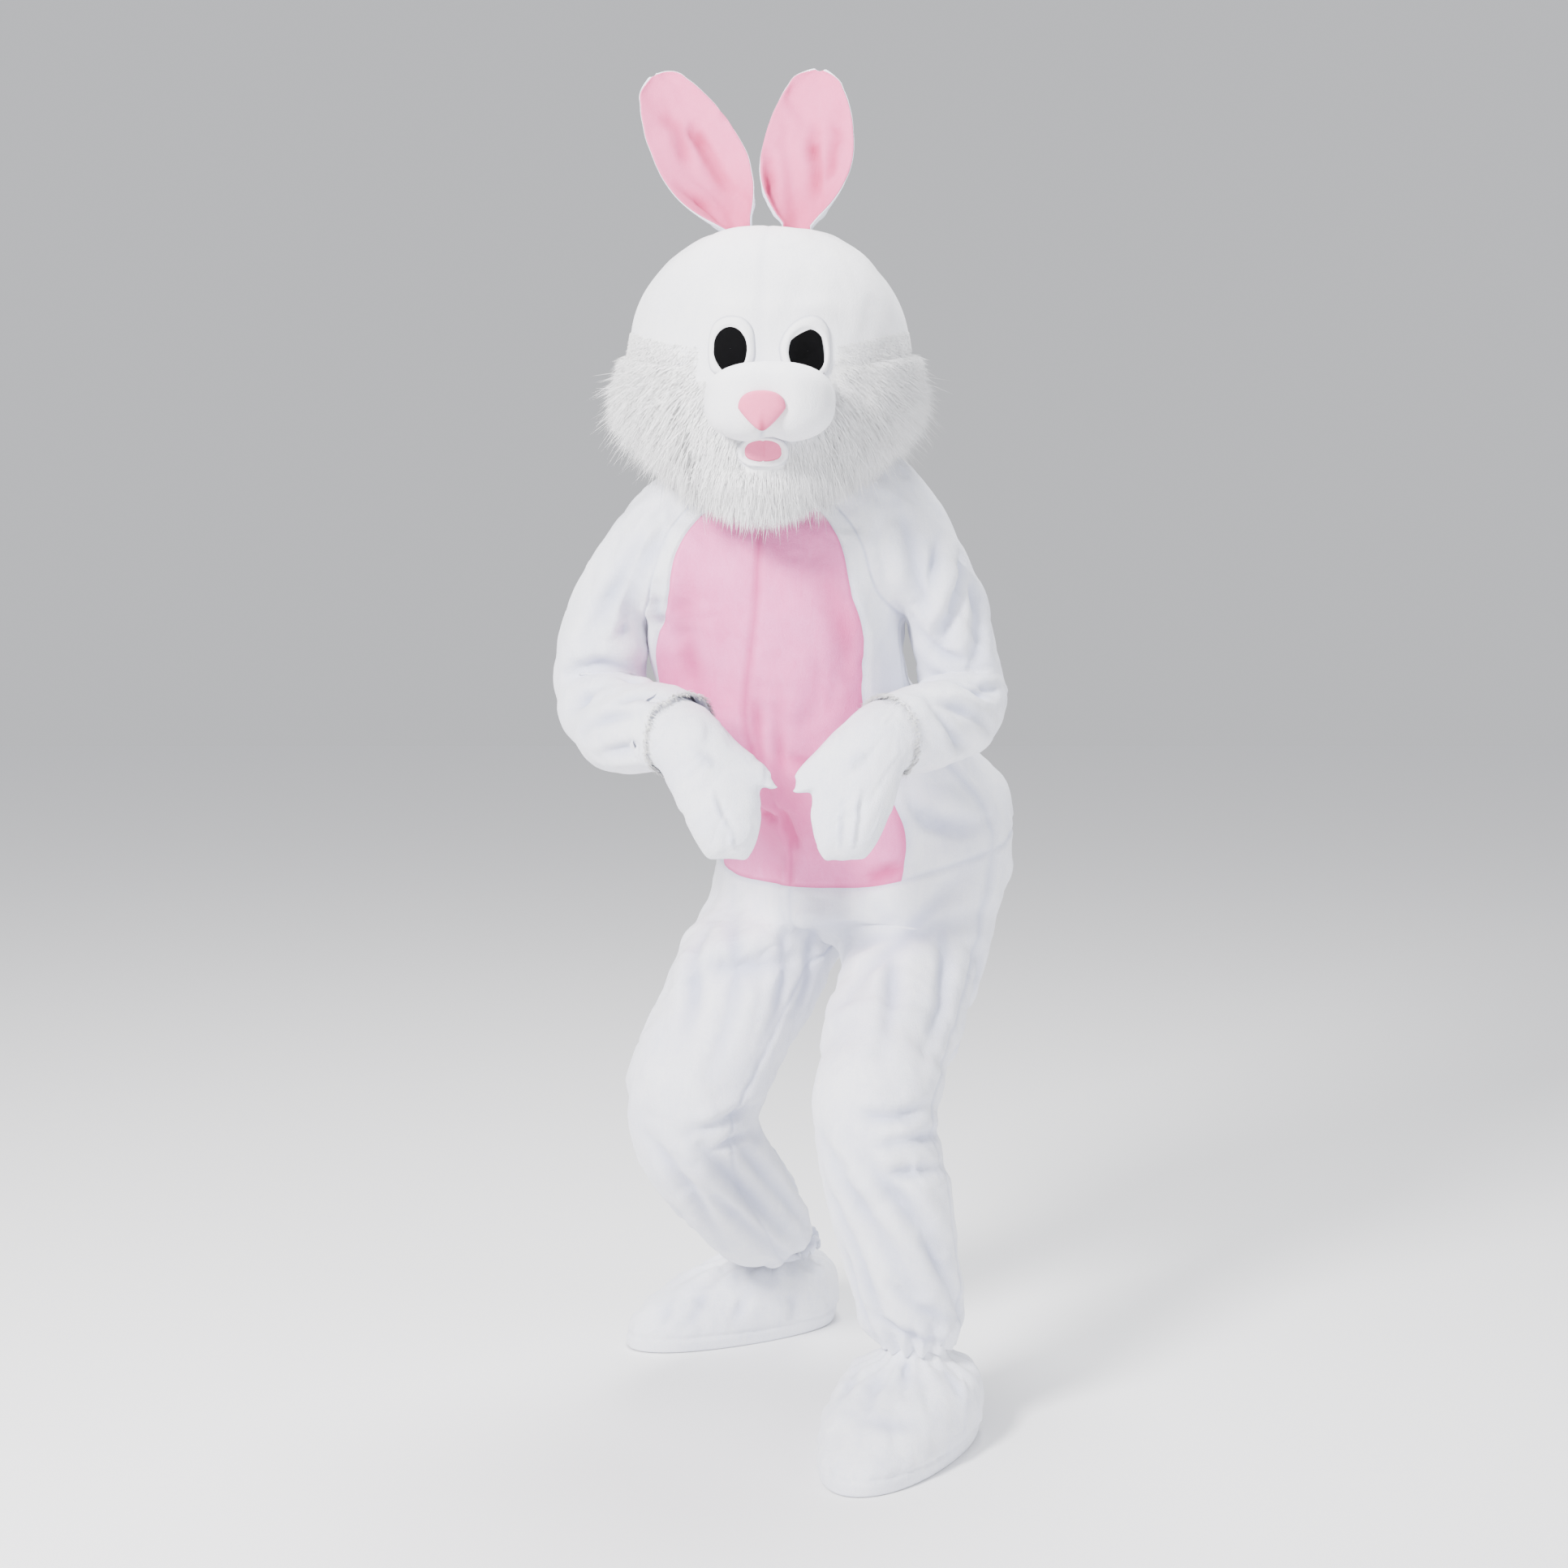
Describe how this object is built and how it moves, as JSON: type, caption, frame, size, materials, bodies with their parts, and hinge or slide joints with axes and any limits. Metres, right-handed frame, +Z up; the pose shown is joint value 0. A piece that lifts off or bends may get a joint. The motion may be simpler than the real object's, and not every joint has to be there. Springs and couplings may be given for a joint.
{
  "type": "rabbit mascot costume",
  "caption": "Hollow plush rabbit costume as worn, knees bent: head with upright ears and furry cheeks, pink belly panel, mittens and boot covers.",
  "frame": {"origin": "between the wearer's shoulders, 1.2 m above the floor, where the costume is carried", "axes": "+Z up; the costume's front looks along -Y, and its left is at +X"},
  "size_m": [0.608, 0.8157, 1.7424],
  "materials": {
    "white_plush": "white short-pile plush",
    "pink_plush": "pale pink short-pile plush",
    "white_fur": "white long-pile faux fur",
    "ear_satin": "deeper pink smooth cloth in the hollow of the ears",
    "white_felt": "white felt",
    "pink_felt": "pink felt",
    "black_mesh": "black open mesh that the wearer sees through",
    "sole_cloth": "white hard-wearing cloth under the foot"
  },
  "bodies": {
    "root": {"back_left": "white_plush", "back_right": "white_plush", "boot_upper_left": "white_plush", "boot_upper_right": "white_plush", "crown_left": "white_plush", "crown_right": "white_plush", "ear_back_left": "white_plush", "ear_back_right": "white_plush", "leg_back_left": "white_plush", "leg_back_right": "white_plush", "leg_front_left": "white_plush", "leg_front_right": "white_plush", "mitten_back_left": "white_plush", "mitten_back_right": "white_plush", "mitten_palm_left": "white_plush", "mitten_palm_right": "white_plush", "muzzle": "white_plush", "side_left": "white_plush", "side_right": "white_plush", "sleeve_left": "white_plush", "sleeve_right": "white_plush", "belly_left": "pink_plush", "belly_right": "pink_plush", "cheek_pile_left": "white_fur", "cheek_pile_right": "white_fur", "chin_pile": "white_fur", "nape": "white_fur", "ear_front_left": "ear_satin", "ear_front_right": "ear_satin", "eye_white_left": "white_felt", "eye_white_right": "white_felt", "mouth": "white_felt", "nose": "pink_felt", "tongue": "pink_felt", "eye_mesh_left": "black_mesh", "eye_mesh_right": "black_mesh", "boot_sole_left": "sole_cloth", "boot_sole_right": "sole_cloth"}
  },
  "joints": []
}
